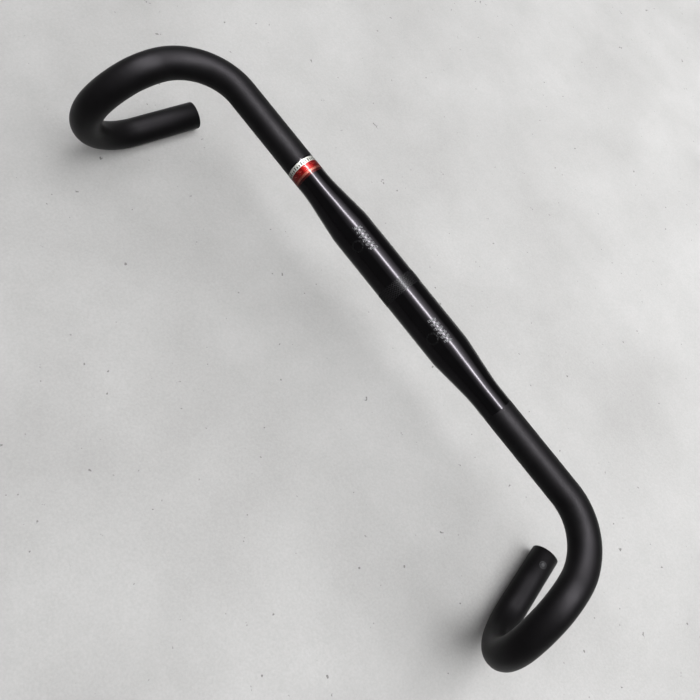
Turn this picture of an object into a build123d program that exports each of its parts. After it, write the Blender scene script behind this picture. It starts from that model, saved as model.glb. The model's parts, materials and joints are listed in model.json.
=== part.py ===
"""Compact drop handlebar: one butted, bulged and bent aluminium tube with its printed transfers.

Millimetres. The origin is the middle of the stem clamp zone. +X points to the rider's right,
+Y forward (the bar's reach) and +Z up. The tops and the drops lie level.
"""
from build123d import *
import math
import os

# --- tube sections ---
clamp_diameter = 31.8
grip_diameter = 23.8
clamp_wall = 2.2
grip_wall = 1.8
end_break = 0.3            # small chamfer on both rims of an open end

# --- lengths along the tops, from the middle ---
clamp_half_length = 57.0   # the level 31.8 mm zone ends here
taper_length = 48.2
shoulder_blend = 3.3       # rounding where the clamp zone breaks into the cone
settle_blend = 7.3         # rounding where the cone settles into the tops
top_half_length = 194.0    # the corner starts here

# --- corner and hook: bend radii of the centreline, and turns in degrees ---
corner_radius = 47.0
corner_turn = 83.0         # under 90, so the ramps splay outwards
flare = 12.0               # lean of the hook's plane
hook_entry_radius = 45.0
hook_entry_turn = 36.0
hook_front_radius = 75.0
hook_front_turn = 22.0
hook_lower_radius = 49.0
hook_total_turn = 180.0    # the drops run back parallel to the ramps
drop_length = 58.0

# --- printed transfers, thin films seated on the tube ---
print_thickness = 0.06
centre_ring_width = 10.5
band_gap = 1.8             # from the taper's end to the band, on the right side
dark_edge_width = 1.9
pale_stripe_width = 1.7
red_width = 5.4
silver_width = 4.0
badge_facing = 52.0        # degrees up from straight ahead
badge_reach = 6.0          # how far a badge's cutter passes above the tube
strip_margin = 2.2         # from the strip's outer end to the clamp zone's end
strip_bar_count = 6
strip_bar_pitch = 3.7
strip_bar_width = 2.2
strip_bar_height = 6.0
strip_bar_slant = 2.0
strip_rise = 4.6           # the strip's middle, above the badge's middle
emblem_shift = 1.5         # the emblem's middle, left of the strip's middle
emblem_drop = 3.6          # the emblem's middle, below the badge's middle
emblem_radius = 4.6
emblem_line = 1.3
end_mark_radius = 3.2
end_mark_line = 0.7
end_mark_from_end = 14.5

clamp_radius = clamp_diameter / 2
grip_radius = grip_diameter / 2
clamp_bore = clamp_radius - clamp_wall
grip_bore = grip_radius - grip_wall
taper_end = clamp_half_length + taper_length
hook_lower_turn = hook_total_turn - hook_entry_turn - hook_front_turn
strip_length = strip_bar_pitch * (strip_bar_count - 1) + strip_bar_width + strip_bar_slant
strip_middle = clamp_half_length - strip_margin - strip_length / 2


def wall_line(middle_radius, end_radius):
    """Half of a wall's outline: level, a rounded shoulder, a straight cone, a softer rounding."""
    cone_start = clamp_half_length + shoulder_blend
    cone_end = taper_end - settle_blend
    slope = math.atan2(middle_radius - end_radius, cone_end - cone_start)
    along, down = math.cos(slope), math.sin(slope)
    level_end = (clamp_half_length, middle_radius)
    high = (cone_start + shoulder_blend * along, middle_radius - shoulder_blend * down)
    low = (cone_end - settle_blend * along, end_radius + settle_blend * down)
    return [
        Line((0, middle_radius), level_end),
        TangentArc(level_end, high, tangent=(1, 0)),
        Line(high, low),
        TangentArc((taper_end, end_radius), low, tangent=(-1, 0)),
    ]


def middle_half():
    """Right half of the clamp zone and its taper, turned about the bar's axis."""
    outer = wall_line(clamp_radius, grip_radius)
    inner = wall_line(clamp_bore, grip_bore)
    plane_of_symmetry = Line((0, clamp_bore), (0, clamp_radius))
    taper_face = Line((taper_end, grip_bore), (taper_end, grip_radius))
    outline = make_face(outer + inner + [plane_of_symmetry, taper_face])
    return revolve(outline, Axis.X, 360)


def tube_section(at):
    return at * (Circle(grip_radius) - Circle(grip_bore))


def straight(at, length):
    """A straight run, and the frame at its end."""
    return extrude(tube_section(at), amount=length), at.offset(length)


def bend(at, radius, turn):
    """A bend that curls towards the frame's x direction, and the frame at its end."""
    centre = at.origin + at.x_dir * radius
    run = revolve(tube_section(at), Axis(centre, at.y_dir), turn)
    angle = math.radians(turn)
    heading = at.z_dir * math.cos(angle) + at.x_dir * math.sin(angle)
    inward = at.x_dir * math.cos(angle) - at.z_dir * math.sin(angle)
    return run, Plane(origin=centre - inward * radius, x_dir=inward, z_dir=heading)


def hook_frame(corner_end):
    """The corner's end frame, turned to curl downwards in the plane that the flare leans outwards."""
    outward = corner_end.z_dir.cross(Vector(0, 0, 1))
    lean = math.radians(flare)
    inward = outward * math.sin(lean) - Vector(0, 0, 1) * math.cos(lean)
    return Plane(origin=corner_end.origin, x_dir=inward, z_dir=corner_end.z_dir)


def drop(at):
    """The straight, open-ended run that the hand holds, with both rims of its end broken."""
    run, end = straight(at, drop_length)
    rims = run.edges().filter_by(lambda edge: abs(end.to_local_coords(edge.center()).Z) < 0.01)
    rims = rims.filter_by(GeomType.CIRCLE)
    return chamfer(rims, end_break), end


def right_side():
    """The runs from the taper to the open end, and the frame at the drop's start."""
    start = Plane(origin=(taper_end, 0, 0), x_dir=(0, 1, 0), z_dir=(1, 0, 0))
    top, corner_start = straight(start, top_half_length - taper_end)
    corner, corner_end = bend(corner_start, corner_radius, corner_turn)
    entry, front_start = bend(hook_frame(corner_end), hook_entry_radius, hook_entry_turn)
    front, lower_start = bend(front_start, hook_front_radius, hook_front_turn)
    lower, drop_start = bend(lower_start, hook_lower_radius, hook_lower_turn)
    grip, _ = drop(drop_start)
    return [top, corner, entry, front, lower, grip], drop_start


def bar_tube():
    runs, _ = right_side()
    half = middle_half()
    for run in runs:
        half = half + run
    return half + mirror(half, about=Plane.YZ)


def film_ring(radius, start, width):
    """A printed film all round the tube, from `start` towards +X."""
    at = Plane(origin=(start, 0, 0), z_dir=(1, 0, 0))
    return extrude(at * (Circle(radius + print_thickness) - Circle(radius)), amount=width)


def centre_ring():
    return film_ring(clamp_radius, -centre_ring_width / 2, centre_ring_width)


def band():
    """The band's four printed fields, from the inner edge outwards."""
    fields = {}
    start = taper_end + band_gap
    for name, width in (
        ("band_dark_edge", dark_edge_width),
        ("band_pale_stripe", pale_stripe_width),
        ("band_red", red_width),
        ("band_silver", silver_width),
    ):
        fields[name] = film_ring(grip_radius, start, width)
        start += width
    return fields


def badge(middle, marks):
    """Printed marks: flat shapes pressed radially on to the clamp zone's film."""
    facing = math.radians(badge_facing)
    outward = Vector(0, math.cos(facing), math.sin(facing))
    at = Plane(origin=Vector(middle, 0, 0), x_dir=(-1, 0, 0), z_dir=outward)
    film = film_ring(clamp_radius, -clamp_half_length, 2 * clamp_half_length)
    return film & extrude(at * marks, amount=clamp_radius + badge_reach)


def badge_marks():
    """A row of slanted bars over a plain round emblem."""
    bar = Polygon(
        (-strip_bar_width / 2 - strip_bar_slant / 2, -strip_bar_height / 2),
        (strip_bar_width / 2 - strip_bar_slant / 2, -strip_bar_height / 2),
        (strip_bar_width / 2 + strip_bar_slant / 2, strip_bar_height / 2),
        (-strip_bar_width / 2 + strip_bar_slant / 2, strip_bar_height / 2),
        align=None,
    )
    row_half = strip_bar_pitch * (strip_bar_count - 1) / 2
    marks = Sketch()
    for i in range(strip_bar_count):
        marks += Pos(i * strip_bar_pitch - row_half, strip_rise) * bar
    ring = Circle(emblem_radius) - Circle(emblem_radius - emblem_line)
    return marks + Pos(emblem_shift, -emblem_drop) * ring


def end_mark():
    """A ringed dot printed on top of the left drop, near its end."""
    _, drop_start = right_side()
    place = drop_start.offset(drop_length - end_mark_from_end)
    film = place.offset(-end_mark_radius - 1) * (
        Circle(grip_radius + print_thickness) - Circle(grip_radius)
    )
    film = extrude(film, amount=2 * end_mark_radius + 2)
    above = Plane(origin=place.origin, x_dir=place.z_dir, z_dir=place.x_dir)
    dot = Circle(end_mark_radius) - Circle(end_mark_radius - end_mark_line)
    dot += Circle(end_mark_radius - 2 * end_mark_line)
    return mirror(film & extrude(above * dot, amount=2 * grip_radius), about=Plane.YZ)


def nodes():
    parts = {"bar_tube": bar_tube(), "centre_ring": centre_ring()}
    parts.update(band())
    for side, middle in (("right", strip_middle), ("left", -strip_middle)):
        parts[f"badge_{side}"] = badge(middle, badge_marks())
    parts["end_mark"] = end_mark()
    return parts


os.makedirs("parts", exist_ok=True)
for name, solid in nodes().items():
    export_step(solid, f"parts/{name}.step")
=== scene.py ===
"""Drop handlebar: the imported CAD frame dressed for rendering.

Metres, +Z up, +Y forward, +X to the rider's right.
"""
import bmesh
import bpy
import json
import math
from mathutils import Matrix, Vector

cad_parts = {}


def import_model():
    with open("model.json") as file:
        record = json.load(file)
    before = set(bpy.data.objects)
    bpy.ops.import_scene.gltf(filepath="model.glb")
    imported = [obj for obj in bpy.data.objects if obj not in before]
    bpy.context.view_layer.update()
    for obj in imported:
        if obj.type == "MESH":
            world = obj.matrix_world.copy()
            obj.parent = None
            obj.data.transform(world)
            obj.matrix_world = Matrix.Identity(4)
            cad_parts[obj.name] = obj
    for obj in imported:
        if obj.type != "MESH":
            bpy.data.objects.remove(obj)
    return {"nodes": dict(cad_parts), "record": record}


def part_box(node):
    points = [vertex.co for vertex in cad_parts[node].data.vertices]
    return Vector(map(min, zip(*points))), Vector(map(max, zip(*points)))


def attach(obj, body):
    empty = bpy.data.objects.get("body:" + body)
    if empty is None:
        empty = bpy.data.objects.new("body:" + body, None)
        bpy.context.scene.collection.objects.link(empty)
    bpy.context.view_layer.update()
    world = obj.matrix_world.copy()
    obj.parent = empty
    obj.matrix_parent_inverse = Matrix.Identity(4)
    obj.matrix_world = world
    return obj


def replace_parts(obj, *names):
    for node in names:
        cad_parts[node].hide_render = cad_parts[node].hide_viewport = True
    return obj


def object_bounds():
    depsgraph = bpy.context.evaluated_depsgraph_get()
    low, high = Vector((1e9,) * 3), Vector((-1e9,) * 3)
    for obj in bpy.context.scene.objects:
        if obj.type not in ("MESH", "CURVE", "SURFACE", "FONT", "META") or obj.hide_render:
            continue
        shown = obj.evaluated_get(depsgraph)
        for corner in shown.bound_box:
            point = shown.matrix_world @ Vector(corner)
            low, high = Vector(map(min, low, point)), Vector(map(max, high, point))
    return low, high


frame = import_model()
cad_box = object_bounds()

MM = 0.001
MOUNTS = {m["name"]: m for m in frame["record"]["mounts"]}
CLAMP_RADIUS = MOUNTS["stem_clamp"]["dims"]["r_mm"] * MM
GRIP_RADIUS = MOUNTS["right_drop_grip"]["dims"]["r_mm"] * MM
GRIP_BORE = MOUNTS["right_end_bore"]["dims"]["r_mm"] * MM
CLAMP_WALL = 2.2 * MM
CLAMP_BORE = CLAMP_RADIUS - CLAMP_WALL

# the bar's centreline, from the middle to the open end
CLAMP_HALF = MOUNTS["stem_clamp"]["dims"]["length_mm"] * MM / 2
TAPER = 48.2 * MM
SHOULDER_BLEND = 3.3 * MM
SETTLE_BLEND = 7.3 * MM
TOP_HALF = 194 * MM
CORNER = (47 * MM, 83)                                  # bend radius, turn in degrees
HOOK = ((45 * MM, 36), (75 * MM, 22), (49 * MM, 122))
FLARE = 12
DROP = 58 * MM
END_BREAK = 0.3 * MM
GLOSS_LEFT = -115.5 * MM                                # the polished middle runs from here
GLOSS_PAST_BAND = 1.2 * MM                              # to this far past the printed band
GLOSS_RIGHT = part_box("band_silver")[1][0] + GLOSS_PAST_BAND

GLOSS, SATIN, RAW = range(3)   # material slots of the tube
AROUND = 72              # corners round the tube
STEP_DEGREES = 2.0       # centreline step along a bend
BLEND_STEPS = 6          # steps along each rounding of the taper
SHARP_DEGREES = 38       # edges that turn more than this stay sharp
MIRROR = Vector((-1, 1, 1))
MIX_A, MIX_B, MIX_RESULT = 6, 7, 2   # colour sockets of a Mix node

# radiance of the strip light across its length, from behind the bar to in front of it
STRIP_FALLOFF = (
    (-1.25, 0.0), (-1.05, 0.9), (-0.6, 3.9), (-0.25, 9.5), (-0.1, 15.0), (0.0, 45.0), (0.09, 115.0),
    (0.17, 60.0), (0.26, 18.0), (0.39, 5.5), (0.56, 2.6), (0.73, 1.4), (0.92, 0.8), (1.25, 0.5),
)

# printed marks
FILM = 0.06 * MM         # the CAD films' thickness
INK = 0.015 * MM         # thickness of the prints on top of them
HATCH_LINES = 64
HATCH_TURN = 24          # degrees that a hatch line turns over the ring's width
HATCH_WIDTH = 0.2 * MM
HATCH_PIECES = 6         # short patches along one hatch line
TICKS = 36
TICK_TURN = 4.2          # degrees round the tube
TICK_START = 0.15        # share of the silver field's width
TICK_REACH = 0.42        # shares of the same width
LONG_TICK_REACH = 0.65
LONG_TICK_EVERY = 3
CHEVRONS = 12
CHEVRON_EDGE = 0.22      # share of the red field's width on either side of a chevron
CHEVRON_LEAN = 10        # degrees round the tube from a chevron's feet to its peak
CHEVRON_STROKE = 5       # degrees

# floor, light and camera
FLOOR_HALF = 4.0
STRIP_PLACE = (0.2, 0.0, 1.6)
STRIP_WIDTH = 2.4
STRIP_LENGTH = 2.5
DOME_PLACE = (-1.0, -1.1, 2.0)
DOME_SIDE = 3.0
DOME_WATTS = 112
CAMERA_PLACE = Vector((-42.7, 273.2, 385.0)) * MM
CAMERA_SIGHT = Vector((0.0631, -0.4734, -0.8786))
CAMERA_TOP = Vector((0.7814, -0.5242, 0.3386))
CAMERA_LENS = 32.14      # focal length in mm, for a 36 mm sensor


# ---------------------------------------------------------------- meshes

def make_object(name, verts, faces, materials=(), indices=None):
    """A smooth-shaded mesh object with outward normals; indices give each face's material."""
    mesh = bpy.data.meshes.new(name)
    mesh.from_pydata(verts, [], faces)
    for material in materials:
        mesh.materials.append(material)
    if indices:
        mesh.polygons.foreach_set("material_index", indices)
    mesh.polygons.foreach_set("use_smooth", [True] * len(faces))
    bm = bmesh.new()
    bm.from_mesh(mesh)
    bmesh.ops.recalc_face_normals(bm, faces=bm.faces)
    bm.to_mesh(mesh)
    bm.free()
    mesh.set_sharp_from_angle(angle=math.radians(SHARP_DEGREES))
    obj = bpy.data.objects.new(name, mesh)
    bpy.context.scene.collection.objects.link(obj)
    return obj


def cone(middle, end):
    """Where the straight cone between two wall radii starts and ends, and its slope in radians."""
    start, stop = CLAMP_HALF + SHOULDER_BLEND, CLAMP_HALF + TAPER - SETTLE_BLEND
    return start, stop, math.atan2(middle - end, stop - start)


def tapered(x, middle, end):
    """A wall's radius at x from the middle: level, a rounded shoulder, a cone, a softer rounding."""
    start, stop, slope = cone(middle, end)
    shoulder, settle = SHOULDER_BLEND / math.tan(slope / 2), SETTLE_BLEND / math.tan(slope / 2)
    if x <= CLAMP_HALF:
        return middle
    if x >= CLAMP_HALF + TAPER:
        return end
    if x < start + SHOULDER_BLEND * math.cos(slope):
        return middle - shoulder + math.sqrt(shoulder ** 2 - (x - CLAMP_HALF) ** 2)
    if x > stop - SETTLE_BLEND * math.cos(slope):
        return end + settle - math.sqrt(settle ** 2 - (CLAMP_HALF + TAPER - x) ** 2)
    return middle - (x - start) * math.tan(slope)


def top_stations():
    """Stations from the middle to the corner: (place, u, v, outer radius, bore radius)."""
    start, stop, _ = cone(CLAMP_RADIUS, GRIP_RADIUS)
    xs = [0, CLAMP_HALF / 2, CLAMP_HALF]
    xs += [CLAMP_HALF + 2 * SHOULDER_BLEND * i / BLEND_STEPS for i in range(1, BLEND_STEPS + 1)]
    xs += [(start + stop) / 2]
    xs += [stop + SETTLE_BLEND * (2 * i / BLEND_STEPS - 1) for i in range(BLEND_STEPS + 1)]
    xs += [-GLOSS_LEFT, GLOSS_RIGHT, (GLOSS_RIGHT + TOP_HALF) / 2, TOP_HALF]
    u, v = Vector((0, 1, 0)), Vector((0, 0, 1))
    stations = []
    for x in xs:
        outer = tapered(x, CLAMP_RADIUS, GRIP_RADIUS)
        stations.append((Vector((x, 0, 0)), u, v, outer, tapered(x, CLAMP_BORE, GRIP_BORE)))
    return stations


def bend(stations, heading, inward, radius, turn):
    """Adds a bend's stations; returns the heading and the inward direction at its end."""
    place, u, v = stations[-1][:3]
    axis = heading.cross(inward)
    centre = place + inward * radius
    steps = max(2, round(turn / STEP_DEGREES))
    for i in range(1, steps + 1):
        spin = Matrix.Rotation(math.radians(turn * i / steps), 3, axis)
        stations.append((centre + spin @ (place - centre), spin @ u, spin @ v, GRIP_RADIUS, GRIP_BORE))
    return spin @ heading, spin @ inward


def half_stations():
    """Stations from the middle to the right drop, then the open end's place and heading."""
    stations = top_stations()
    heading, _ = bend(stations, Vector((1, 0, 0)), Vector((0, 1, 0)), *CORNER)
    up = Vector((0, 0, 1))
    lean = math.radians(FLARE)
    inward = heading.cross(up) * math.sin(lean) - up * math.cos(lean)
    for radius, turn in HOOK:
        heading, inward = bend(stations, heading, inward, radius, turn)
    place, u, v = stations[-1][:3]
    for share in (0.5, 1.0):
        stations.append((place + heading * (DROP - END_BREAK) * share, u, v, GRIP_RADIUS, GRIP_BORE))
    return stations, place + heading * DROP, heading


def mirrored(station):
    """The same station on the left half."""
    place, u, v, outer, bore = station
    return place * MIRROR, u * MIRROR, v * MIRROR, outer, bore


def ring(place, u, v, radius):
    """The corners of a circle round a place, in the plane of u and v."""
    angles = [2 * math.pi * i / AROUND for i in range(AROUND)]
    return [tuple(place + u * (radius * math.cos(a)) + v * (radius * math.sin(a))) for a in angles]


def rim_rings(station, end, heading):
    """The rings round an open end's broken rim, from the outside to the bore."""
    _, u, v, outer, bore = station
    soft = END_BREAK * (1 - math.sqrt(0.5))
    profile = ((outer - soft, soft), (outer - END_BREAK, 0), (bore + END_BREAK, 0), (bore + soft, soft))
    return [ring(end - heading * back, u, v, radius) for radius, back in profile]


def bar_tube(gloss, satin, raw):
    """The whole tube as one skin: along the outside, round a broken rim, back through the bore."""
    half, end, heading = half_stations()
    stations = [mirrored(s) for s in reversed(half[1:])] + half
    outside = [ring(place, u, v, outer) for place, u, v, outer, _ in stations]
    right_rim = rim_rings(stations[-1], end, heading)
    inside = [ring(place, u, v, bore) for place, u, v, _, bore in reversed(stations)]
    left_rim = rim_rings(stations[0], end * MIRROR, heading * MIRROR)
    rings = outside + right_rim + inside + left_rim[::-1]

    # a kind is the material of the faces from a ring to the next one
    kinds = []
    for here, beyond in zip(stations, stations[1:]):
        middle = (here[0].x + beyond[0].x) / 2
        kinds.append(GLOSS if GLOSS_LEFT < middle < GLOSS_RIGHT else SATIN)
    kinds += [SATIN] * (1 + len(right_rim)) + [RAW] * len(inside) + [SATIN] * len(left_rim)

    verts = [p for r in rings for p in r]
    faces, indices = [], []
    for i in range(len(rings)):
        a, b = i * AROUND, ((i + 1) % len(rings)) * AROUND
        for j in range(AROUND):
            k = (j + 1) % AROUND
            faces.append((a + j, a + k, b + k, b + j))
            indices.append(kinds[i])
    return make_object("bar_tube_finished", verts, faces, (gloss, satin, raw), indices)


def wrapped_patch(outline, radius):
    """A print INK thick on the tube: its outline is (x, degrees round the tube) corner points."""
    verts = []
    for level in (radius, radius + INK):
        for x, degrees in outline:
            a = math.radians(degrees)
            verts.append((x, level * math.cos(a), level * math.sin(a)))
    n = len(outline)
    faces = [tuple(range(n, 2 * n)), tuple(reversed(range(n)))]
    faces += [(i, (i + 1) % n, n + (i + 1) % n, n + i) for i in range(n)]
    return verts, faces


def joined(patches):
    """All the patches as the vertices and faces of one mesh."""
    verts, faces = [], []
    for more_verts, more_faces in patches:
        shift = len(verts)
        verts += more_verts
        faces += [tuple(i + shift for i in f) for f in more_faces]
    return verts, faces


def slanted_line(x0, x1, start, turn, width_degrees, radius):
    """A narrow line that winds round the tube from x0 to x1, as a chain of short patches."""
    for i in range(HATCH_PIECES):
        a, b = i / HATCH_PIECES, (i + 1) / HATCH_PIECES
        left, right = x0 + (x1 - x0) * a, x0 + (x1 - x0) * b
        low, high = start + turn * a, start + turn * b
        yield wrapped_patch(
            [(left, low), (right, high), (right, high + width_degrees), (left, low + width_degrees)],
            radius,
        )


def centre_hatch(material):
    """Fine crossed lines all round the centring ring."""
    low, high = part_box("centre_ring")
    width = math.degrees(HATCH_WIDTH / CLAMP_RADIUS)
    patches = []
    for i in range(HATCH_LINES):
        start = 360 * i / HATCH_LINES
        for turn in (HATCH_TURN, -HATCH_TURN):
            patches += slanted_line(low[0], high[0], start, turn, width, CLAMP_RADIUS + FILM)
    return make_object("centre_hatch", *joined(patches), (material,))


def band_ticks(material):
    """Short and long ticks round the silver field, in place of any lettering."""
    low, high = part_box("band_silver")
    span = high[0] - low[0]
    inner = low[0] + TICK_START * span
    patches = []
    for i in range(TICKS):
        at = 360 * i / TICKS
        outer = inner + (LONG_TICK_REACH if i % LONG_TICK_EVERY == 0 else TICK_REACH) * span
        patches.append(wrapped_patch(
            [(inner, at), (outer, at), (outer, at + TICK_TURN), (inner, at + TICK_TURN)],
            GRIP_RADIUS + FILM,
        ))
    return make_object("band_ticks", *joined(patches), (material,))


def band_chevrons(material):
    """A plain run of chevrons round the red field."""
    low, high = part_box("band_red")
    edge = CHEVRON_EDGE * (high[0] - low[0])
    left, middle, right = low[0] + edge, (low[0] + high[0]) / 2, high[0] - edge
    patches = []
    for i in range(CHEVRONS):
        at = 360 * i / CHEVRONS
        peak = (middle, at + CHEVRON_LEAN)
        for a, b in (((left, at), peak), (peak, (right, at))):
            patches.append(wrapped_patch(
                [a, b, (b[0], b[1] + CHEVRON_STROKE), (a[0], a[1] + CHEVRON_STROKE)],
                GRIP_RADIUS + FILM,
            ))
    return make_object("band_chevrons", *joined(patches), (material,))


# ---------------------------------------------------------------- materials

class Shader:
    """A Principled material with helpers for the few node kinds used here."""

    def __init__(self, name, **sockets):
        self.material = bpy.data.materials.new(name)
        self.material.use_nodes = True
        self.tree = self.material.node_tree
        self.surface = self.tree.nodes["Principled BSDF"]
        self.place = self.tree.nodes.new("ShaderNodeTexCoord").outputs["Object"]
        for socket, value in sockets.items():
            self.surface.inputs[socket.replace("_", " ")].default_value = value

    def node(self, kind, inputs=(), **settings):
        made = self.tree.nodes.new(kind)
        for key, value in settings.items():
            setattr(made, key, value)
        for socket, value in dict(inputs).items():
            if isinstance(value, bpy.types.NodeSocket):
                self.tree.links.new(value, made.inputs[socket])
            else:
                made.inputs[socket].default_value = value
        return made

    def noise(self, scale, detail=3.0, roughness=0.5, vector=None):
        return self.node("ShaderNodeTexNoise", {
            "Vector": vector or self.place, "Scale": scale, "Detail": detail, "Roughness": roughness,
        }).outputs["Fac"]

    def stretched(self, x, y, z):
        mapping = self.node("ShaderNodeMapping", {"Vector": self.place, "Scale": (x, y, z)})
        return mapping.outputs["Vector"]

    def remap(self, value, low, high, start=0.3, stop=0.7):
        """Takes the range from start to stop to the range from low to high."""
        return self.node("ShaderNodeMapRange", {
            "Value": value, "From Min": start, "From Max": stop, "To Min": low, "To Max": high,
        }).outputs["Result"]

    def mix(self, share, a, b, blend="MIX"):
        """Colour a where share is 0, blended with colour b where it is 1."""
        colours = {"Factor": share, MIX_A: a, MIX_B: b}
        made = self.node("ShaderNodeMix", colours, data_type="RGBA", blend_type=blend)
        return made.outputs[MIX_RESULT]

    def link(self, value, socket):
        self.tree.links.new(value, self.surface.inputs[socket])

    def mottle(self, pattern, dark, light):
        """A base colour that drifts between two tones."""
        self.link(self.mix(self.remap(pattern, 0, 1), (*dark, 1), (*light, 1)), "Base Color")

    def bump(self, height, strength, distance):
        """Relief; the distance is in metres."""
        relief = {"Height": height, "Strength": strength, "Distance": distance}
        self.link(self.node("ShaderNodeBump", relief).outputs["Normal"], "Normal")


def gloss_black():
    """Polished black: faint orange peel, a few wiping marks."""
    s = Shader("gloss_black", Metallic=1.0, Specular_Tint=(0.75, 0.75, 0.75, 1))
    s.mottle(s.noise(90), (0.01, 0.0094, 0.0104), (0.0118, 0.0111, 0.0123))
    smudge = s.noise(55, detail=5)
    s.link(s.remap(smudge, 0.11, 0.16, 0.4, 0.75), "Roughness")
    s.bump(s.noise(420, detail=1), 0.06, 0.4 * MM)
    return s.material


def satin_black():
    """Fine bead-blasted, black-anodised aluminium: a dense sparkle of tiny pits."""
    s = Shader("satin_black", Metallic=1.0, Specular_Tint=(0.95, 0.95, 0.95, 1))
    s.mottle(s.noise(60, detail=4), (0.006, 0.0057, 0.0062), (0.0078, 0.0074, 0.008))
    s.link(s.remap(s.noise(2600, detail=2), 0.46, 0.56), "Roughness")
    s.bump(s.noise(3200, detail=2, roughness=0.7), 0.35, 0.08 * MM)
    return s.material


def raw_bore():
    """Drawn aluminium inside the tube, with streaks from the mandrel."""
    s = Shader("raw_bore", Metallic=1.0)
    s.mottle(s.noise(120, detail=4), (0.36, 0.36, 0.37), (0.5, 0.5, 0.51))
    streaks = s.noise(300, detail=3, vector=s.stretched(0.2, 0.2, 1.0))
    s.link(s.remap(streaks, 0.32, 0.5), "Roughness")
    s.bump(streaks, 0.2, 0.2 * MM)
    return s.material


def foil(name, light, dark, roughness=0.5, grain=1500):
    """Printed foil: a grainy metallic colour, under the clear coat that seals it."""
    s = Shader(name, Metallic=1.0, Coat_Weight=0.3, Coat_Roughness=0.06, Specular_Tint=(0.5, 0.5, 0.5, 1))
    s.mottle(s.noise(grain, detail=3), dark, light)
    s.link(s.remap(s.noise(grain * 0.7), roughness * 0.8, roughness * 1.25), "Roughness")
    s.bump(s.noise(grain), 0.08, 0.05 * MM)
    return s.material


def black_print(name, tone, roughness, relief):
    """Black on black: a tone, and a grain and roughness that set it apart from the tube."""
    s = Shader(name, Metallic=1.0, Specular_Tint=(0.5, 0.5, 0.5, 1))
    dark, light = 0.8 * tone, 1.2 * tone
    s.mottle(s.noise(1800, detail=3), (dark, dark, dark * 1.05), (light, light, light * 1.05))
    s.link(s.remap(s.noise(900), roughness * 0.8, roughness * 1.25), "Roughness")
    s.bump(s.noise(1100, detail=2, roughness=0.6), relief, 0.3 * MM)
    return s.material


def matt_ink(name, light, dark):
    """A dull pigment, slightly uneven."""
    s = Shader(name, Specular_IOR_Level=0.1)
    s.mottle(s.noise(1500, detail=3), dark, light)
    s.link(s.remap(s.noise(900), 0.4, 0.6), "Roughness")
    return s.material


def concrete():
    """Pale, smooth concrete: slow mottling, fine sand, and sparse pinholes drawn as dark specks of
    painted shade.
    """
    s = Shader("pale_concrete", Specular_IOR_Level=0.0)
    slow = s.noise(7, detail=5, roughness=0.6)
    sand = s.noise(520, detail=3, roughness=0.7)
    # pinholes are only dark specks in the colour: painted shade where a hole would be, with no hole in
    # the surface
    painted_pinhole_shade = s.remap(s.noise(170, detail=2), 0, 1, 0.74, 0.78)
    cloud = s.mix(s.remap(slow, 0, 1), (0.4, 0.396, 0.392, 1), (0.49, 0.487, 0.484, 1))
    grain = s.mix(s.remap(sand, 0, 1), (0.9, 0.9, 0.9, 1), (1, 1, 1, 1))
    sandy = s.mix(1.0, cloud, grain, blend="MULTIPLY")
    s.link(s.mix(painted_pinhole_shade, sandy, (0.2, 0.197, 0.193, 1)), "Base Color")
    s.link(s.remap(sand, 0.75, 0.95), "Roughness")
    s.bump(s.noise(260, detail=5, roughness=0.7), 0.25, 0.8 * MM)
    return s.material


# ---------------------------------------------------------------- pieces

tube = bar_tube(gloss_black(), satin_black(), raw_bore())
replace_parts(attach(tube, "root"), "bar_tube")

CAD_FINISH = {
    "centre_ring": black_print("ring_ink", tone=0.009, roughness=0.2, relief=0.1),
    "badge_right": black_print("badge_ink", tone=0.014, roughness=0.24, relief=0.9),
    "badge_left": black_print("badge_ink_left", tone=0.014, roughness=0.24, relief=0.9),
    "band_silver": foil("silver_foil", (0.32, 0.315, 0.298), (0.16, 0.164, 0.152), roughness=0.6),
    "band_red": foil("red_foil", (0.13, 0.003, 0.003), (0.05, 0.001, 0.001), grain=700),
    "band_pale_stripe": foil("pale_foil", (0.16, 0.05, 0.036), (0.07, 0.018, 0.014)),
    "band_dark_edge": foil("dark_red_foil", (0.035, 0.003, 0.003), (0.012, 0.001, 0.001)),
    "end_mark": black_print("end_mark_ink", tone=0.019, roughness=0.38, relief=0.8),
}
for node, material in CAD_FINISH.items():
    mesh = frame["nodes"][node].data
    mesh.materials.clear()
    mesh.materials.append(material)

hatch = centre_hatch(matt_ink("hatch_ink", (0.022, 0.02, 0.024), (0.012, 0.011, 0.013)))
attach(hatch, "root")
ticks = band_ticks(matt_ink("tick_ink", (0.008, 0.008, 0.009), (0.004, 0.004, 0.005)))
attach(ticks, "root")
chevrons = band_chevrons(foil("chevron_foil", (0.42, 0.11, 0.09), (0.2, 0.04, 0.035)))
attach(chevrons, "root")


# ---------------------------------------------------------------- floor, light and camera

def floor():
    """A level floor under the bar's lowest points."""
    level = cad_box[0][2]
    corners = ((-1, -1), (1, -1), (1, 1), (-1, 1))
    mesh = bpy.data.meshes.new("floor")
    mesh.from_pydata([(FLOOR_HALF * x, FLOOR_HALF * y, level) for x, y in corners], [], [(0, 1, 2, 3)])
    mesh.materials.append(concrete())
    obj = bpy.data.objects.new("floor", mesh)
    bpy.context.scene.collection.objects.link(obj)


def softbox(name, place, width, length):
    """A level softbox that shines straight down: width along X, length along Y."""
    light = bpy.data.lights.new(name, "AREA")
    light.shape = "RECTANGLE"
    light.size, light.size_y = width, length
    obj = bpy.data.objects.new(name, light)
    obj.location = place
    bpy.context.scene.collection.objects.link(obj)
    return obj


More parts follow.
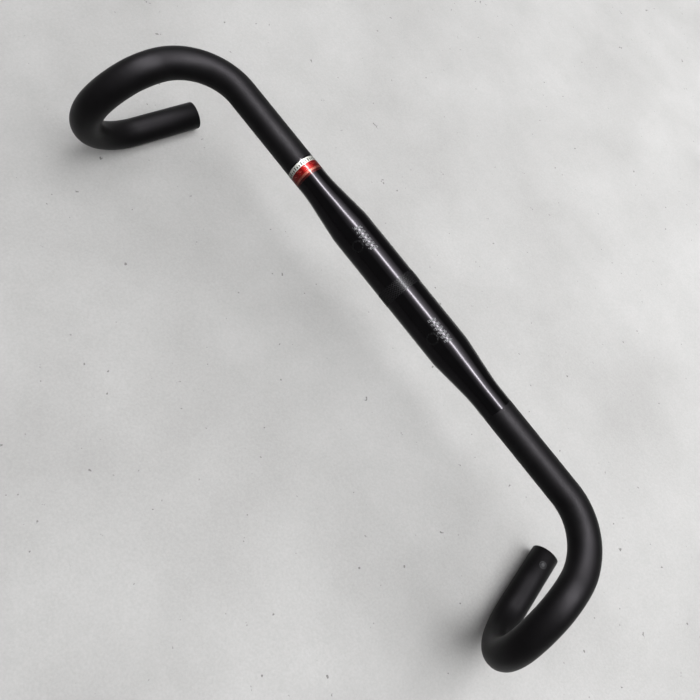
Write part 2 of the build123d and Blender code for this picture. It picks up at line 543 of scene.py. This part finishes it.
def graded(obj, falloff):
    """Grades a softbox across its length: pairs of place along Y in metres and radiance."""
    light = obj.data
    half = light.size_y / 2
    brightest = max(radiance for _, radiance in falloff)
    light.energy = brightest * math.pi * light.size * light.size_y
    light.use_nodes = True
    tree = light.node_tree
    split = tree.nodes.new("ShaderNodeSeparateXYZ")
    ramp = tree.nodes.new("ShaderNodeValToRGB")
    tree.links.new(tree.nodes.new("ShaderNodeNewGeometry").outputs["Parametric"], split.inputs[0])
    tree.links.new(split.outputs["Y"], ramp.inputs["Fac"])
    tree.links.new(ramp.outputs["Color"], tree.nodes["Emission"].inputs["Color"])
    stops = ramp.color_ramp.elements
    while len(stops) < len(falloff):
        stops.new(0.5)
    for stop, (place, radiance) in zip(stops, falloff):
        stop.position = (place + half) / (2 * half)
        level = radiance / brightest
        stop.color = (level, level, level, 1)


def world(fill, seen):
    """An even, pale studio: how much light it gives, and how bright reflections show it."""
    made = bpy.data.worlds.new("studio")
    made.use_nodes = True
    tree = made.node_tree
    level = tree.nodes.new("ShaderNodeMapRange")
    tree.links.new(tree.nodes.new("ShaderNodeLightPath").outputs["Is Glossy Ray"], level.inputs["Value"])
    level.inputs["To Min"].default_value = fill
    level.inputs["To Max"].default_value = seen
    tree.links.new(level.outputs["Result"], tree.nodes["Background"].inputs["Strength"])
    tree.nodes["Background"].inputs["Color"].default_value = (1, 1, 1, 1)
    bpy.context.scene.world = made


def camera():
    """Above the bar and ahead of it, looking down and back, rolled to the photo's angle."""
    back = -CAMERA_SIGHT.normalized()
    right = CAMERA_TOP.cross(back).normalized()
    top = back.cross(right)
    lens = bpy.data.cameras.new("camera")
    lens.sensor_width = 36
    lens.lens = CAMERA_LENS
    lens.clip_start = 0.01
    obj = bpy.data.objects.new("camera", lens)
    turned = Matrix((right, top, back)).transposed().to_4x4()
    obj.matrix_world = Matrix.Translation(CAMERA_PLACE) @ turned
    bpy.context.scene.collection.objects.link(obj)
    bpy.context.scene.camera = obj
    bpy.context.scene.view_settings.view_transform = "Standard"


floor()
strip = softbox("strip", STRIP_PLACE, STRIP_WIDTH, STRIP_LENGTH)
strip.visible_diffuse = False
graded(strip, STRIP_FALLOFF)
dome = softbox("dome", DOME_PLACE, DOME_SIDE, DOME_SIDE)
dome.visible_glossy = False
dome.data.energy = DOME_WATTS
world(fill=0.5, seen=0.4)
camera()
